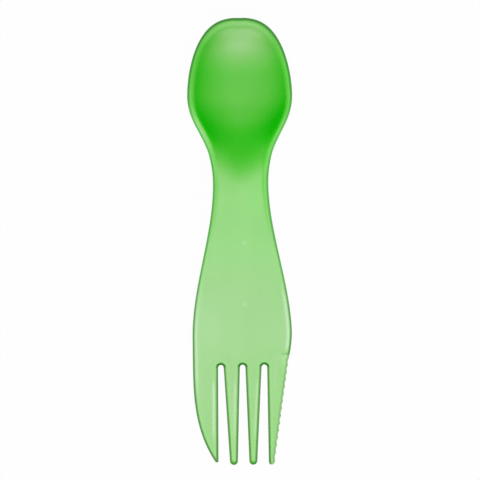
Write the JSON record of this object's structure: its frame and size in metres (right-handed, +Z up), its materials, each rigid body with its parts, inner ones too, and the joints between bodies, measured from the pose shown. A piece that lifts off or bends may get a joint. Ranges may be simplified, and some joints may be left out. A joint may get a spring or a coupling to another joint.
{
  "type": "spork",
  "caption": "One-piece moulded plastic spork with a spoon bowl, an arched handle and a fork end whose side tines are a point and a serrated knife edge",
  "frame": {"origin": "centre of the bounding box in plan, on the table plane under the bowl and the fork", "axes": "+Y runs from the tines to the spoon tip, +X is the side of the serrated cutting tine, +Z is up out of the bowl"},
  "size_m": [0.04, 0.17, 0.0199],
  "materials": {
    "plastic": "translucent green, smooth and glossy"
  },
  "bodies": {
    "root": {"bowl": "plastic", "neck": "plastic", "handle": "plastic", "fork_palm": "plastic", "outer_tine": "plastic", "inner_tine_left": "plastic", "inner_tine_right": "plastic", "cutting_tine": "plastic"}
  },
  "joints": []
}
